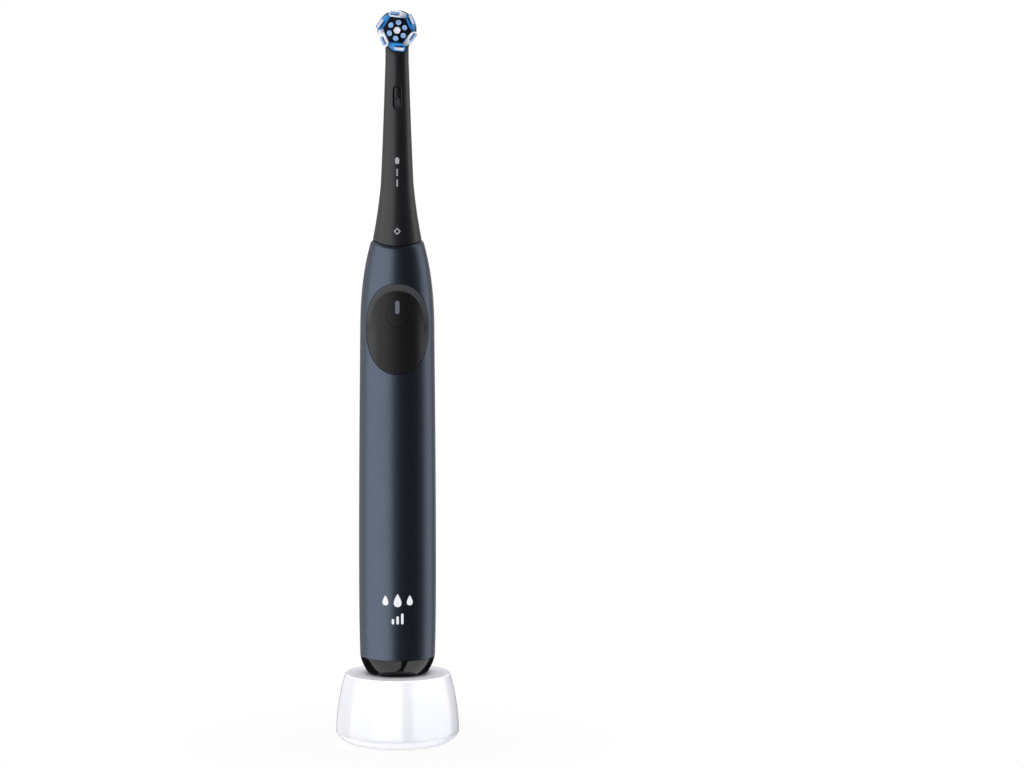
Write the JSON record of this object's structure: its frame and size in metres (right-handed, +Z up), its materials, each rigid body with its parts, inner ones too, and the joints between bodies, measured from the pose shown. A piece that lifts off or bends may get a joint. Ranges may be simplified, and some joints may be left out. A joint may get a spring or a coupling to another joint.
{
  "type": "electric toothbrush on charger",
  "caption": "Electric toothbrush with a slim round handle, thumb panel and round bristle head, standing on the post of a small round charging base.",
  "frame": {"origin": "centre of the charger's flat underside, on the table", "axes": "+Z up along the brush's own axis, -Y to the front, where the bristles and the button are, +X to the right seen from the front"},
  "size_m": [0.0448, 0.0448, 0.2668],
  "materials": {
    "white_gloss": "gloss white",
    "soft_grey": "matt light grey",
    "navy_metallic": "satin metallic navy lacquer",
    "black_gloss": "gloss black",
    "black_satin": "satin black",
    "dark_rubber": "matt dark grey elastomer",
    "seal_rubber": "matt black",
    "steel": "bright steel",
    "nickel": "nickel plated",
    "copper": "enamelled copper wire",
    "ferrite": "matt dark grey ferrite",
    "magnet_plate": "nickel plated magnet",
    "bronze": "sintered bronze",
    "board_green": "green solder mask",
    "chip_black": "black moulded package",
    "ivory_plastic": "ivory",
    "grey_plastic": "grey",
    "cell_wrap": "blue shrink wrap over a metal can",
    "milky_window": "translucent grey",
    "white_bristle": "white nylon",
    "pale_blue_bristle": "pale blue nylon",
    "blue_bristle": "blue nylon"
  },
  "bodies": {
    "charger": {"charger_housing": "white_gloss", "charger_base": "white_gloss", "charger_foot_pad": "soft_grey", "charger_core": "ferrite", "charger_coil": "copper", "charger_board": "board_green", "charger_capacitor": "chip_black", "cord_gland": "soft_grey"},
    "handle": {"handle_shell": "navy_metallic", "base_cap": "black_gloss", "base_seal": "seal_rubber", "pickup_coil": "copper", "chassis": "grey_plastic", "battery_cell": "cell_wrap", "battery_tab_lower": "nickel", "battery_tab_upper": "nickel", "main_board": "board_green", "controller_chip": "chip_black", "tact_switch": "steel", "status_led": "milky_window", "motor_yoke": "steel", "motor_end_plate": "steel", "motor_front_plate": "steel", "lower_bush": "bronze", "upper_bush": "bronze", "coil_bobbin": "ivory_plastic", "stator_coil": "copper", "motor_damper_lower": "seal_rubber", "motor_damper_upper": "seal_rubber", "lower_spring": "nickel", "upper_spring": "nickel", "nose_collar": "black_satin", "shaft_seal": "seal_rubber", "control_panel": "dark_rubber"},
    "drive": {"drive_shaft": "steel", "lower_magnet": "magnet_plate", "upper_magnet": "magnet_plate", "pole_piece": "steel"},
    "power_button": {"power_button": "dark_rubber", "button_light_window": "milky_window"},
    "brush_head": {"neck_shell": "black_satin", "neck_insert": "grey_plastic", "head_axle": "steel"},
    "push_rod": {"push_rod": "ivory_plastic", "shaft_clip": "steel"},
    "bristle_head": {"bristle_carrier": "black_satin", "center_tuft": "white_bristle", "inner_tuft_1": "pale_blue_bristle", "inner_tuft_2": "pale_blue_bristle", "inner_tuft_3": "pale_blue_bristle", "inner_tuft_4": "pale_blue_bristle", "inner_tuft_5": "pale_blue_bristle", "inner_tuft_6": "pale_blue_bristle", "outer_tuft_1": "white_bristle", "outer_tuft_2": "blue_bristle", "outer_tuft_3": "white_bristle", "outer_tuft_4": "blue_bristle", "outer_tuft_5": "white_bristle", "outer_tuft_6": "blue_bristle"}
  },
  "joints": [
    {"name": "handle_lift", "type": "slide", "parent": "charger", "child": "handle", "axis": [0, 0, 1], "range_m": [0, 0.03]},
    {"name": "drive_stroke", "type": "slide", "parent": "handle", "child": "drive", "axis": [0, 0, 1], "range_m": [-0.0008, 0.0008], "stiffness_N_per_m": 1500, "deforming": ["lower_spring", "upper_spring"]},
    {"name": "power_press", "type": "slide", "parent": "handle", "child": "power_button", "axis": [0, 1, 0], "range_m": [0, 0.0004], "stiffness_N_per_m": 4000},
    {"name": "brush_head_pull", "type": "slide", "parent": "handle", "child": "brush_head", "axis": [0, 0, 1], "range_m": [0, 0.03]},
    {"name": "push_rod_slide", "type": "slide", "parent": "brush_head", "child": "push_rod", "axis": [0, 0, 1], "range_m": [-0.00082, 0.00082]},
    {"name": "bristle_swing", "type": "hinge", "parent": "brush_head", "child": "bristle_head", "pos_m": [0, -0.003, 0.2595], "axis": [0, -1, 0], "range_deg": [-18, 18]}
  ],
  "couplings": [
    {"joint": "push_rod_slide", "follows": "drive_stroke", "ratio": 1},
    {"joint": "bristle_swing", "follows": "drive_stroke", "rad_per_m": 384.62}
  ]
}
